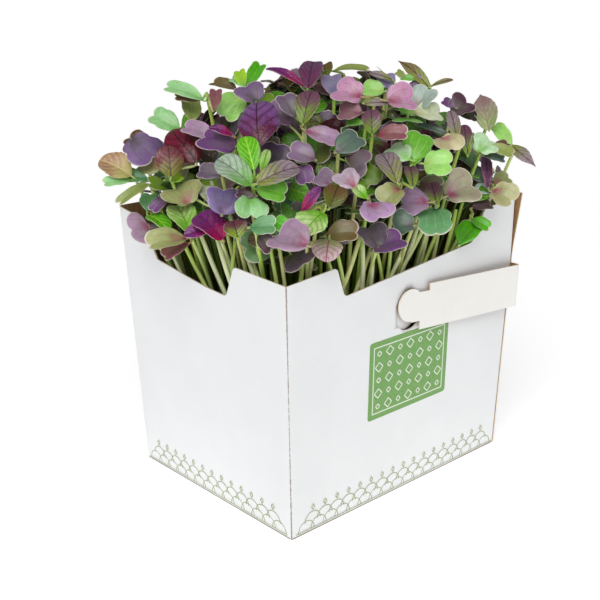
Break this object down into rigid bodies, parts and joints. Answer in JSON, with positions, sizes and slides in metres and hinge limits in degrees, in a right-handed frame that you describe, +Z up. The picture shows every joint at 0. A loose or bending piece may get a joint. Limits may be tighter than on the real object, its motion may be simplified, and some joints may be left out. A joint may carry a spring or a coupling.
{
  "type": "pak choi microgreens tray",
  "caption": "Open folded board carton with die-cut front walls and a corner strap, holding a fibre tray of growing pak choi microgreens with green and violet leaves.",
  "frame": {"origin": "middle of the carton's underside, on the surface it stands on", "axes": "+Z up; the two die-cut walls face -X and -Y and meet at the low front corner"},
  "size_m": [0.1465, 0.1178, 0.1671],
  "materials": {
    "white_board": "satin",
    "strap_board": "satin",
    "pressed_fibre": "matte",
    "damp_peat": "matte",
    "leaf_green": "satin",
    "leaf_violet": "satin",
    "leaf_mauve": "satin",
    "leaf_olive": "satin"
  },
  "bodies": {
    "carton": {"carton": "white_board", "growing_tray": "pressed_fibre", "growing_medium": "damp_peat", "seedling_01": "leaf_green", "seedling_02": "leaf_violet", "seedling_03": "leaf_mauve", "seedling_04": "leaf_olive", "seedling_05": "leaf_green", "seedling_06": "leaf_violet", "seedling_07": "leaf_mauve", "seedling_08": "leaf_olive", "seedling_09": "leaf_green", "seedling_10": "leaf_violet", "seedling_11": "leaf_mauve", "seedling_12": "leaf_olive", "seedling_13": "leaf_green", "seedling_14": "leaf_violet", "seedling_15": "leaf_mauve", "seedling_16": "leaf_olive", "seedling_17": "leaf_green", "seedling_18": "leaf_violet", "seedling_19": "leaf_mauve", "seedling_20": "leaf_olive", "seedling_21": "leaf_green", "seedling_22": "leaf_violet", "seedling_23": "leaf_mauve", "seedling_24": "leaf_olive", "seedling_25": "leaf_green", "seedling_26": "leaf_violet", "seedling_27": "leaf_mauve", "seedling_28": "leaf_olive", "seedling_29": "leaf_green", "seedling_30": "leaf_violet", "seedling_31": "leaf_mauve", "seedling_32": "leaf_olive", "seedling_33": "leaf_green", "seedling_34": "leaf_violet", "seedling_35": "leaf_mauve", "seedling_36": "leaf_olive", "seedling_37": "leaf_green", "seedling_38": "leaf_violet", "seedling_39": "leaf_mauve", "seedling_40": "leaf_olive", "seedling_41": "leaf_green", "seedling_42": "leaf_violet", "seedling_43": "leaf_mauve", "seedling_44": "leaf_olive", "seedling_45": "leaf_green", "seedling_46": "leaf_violet", "seedling_47": "leaf_mauve", "seedling_48": "leaf_olive", "seedling_49": "leaf_green", "seedling_50": "leaf_violet", "seedling_51": "leaf_mauve", "seedling_52": "leaf_olive", "seedling_53": "leaf_green"},
    "strap": {"closing_strap": "strap_board"}
  },
  "joints": [
    {"name": "strap_fold", "type": "hinge", "parent": "carton", "child": "strap", "pos_m": [0.0624, -0.054, 0.0739], "axis": [0.0334, -0.0334, 0.9989], "range_deg": [0, 90]}
  ]
}
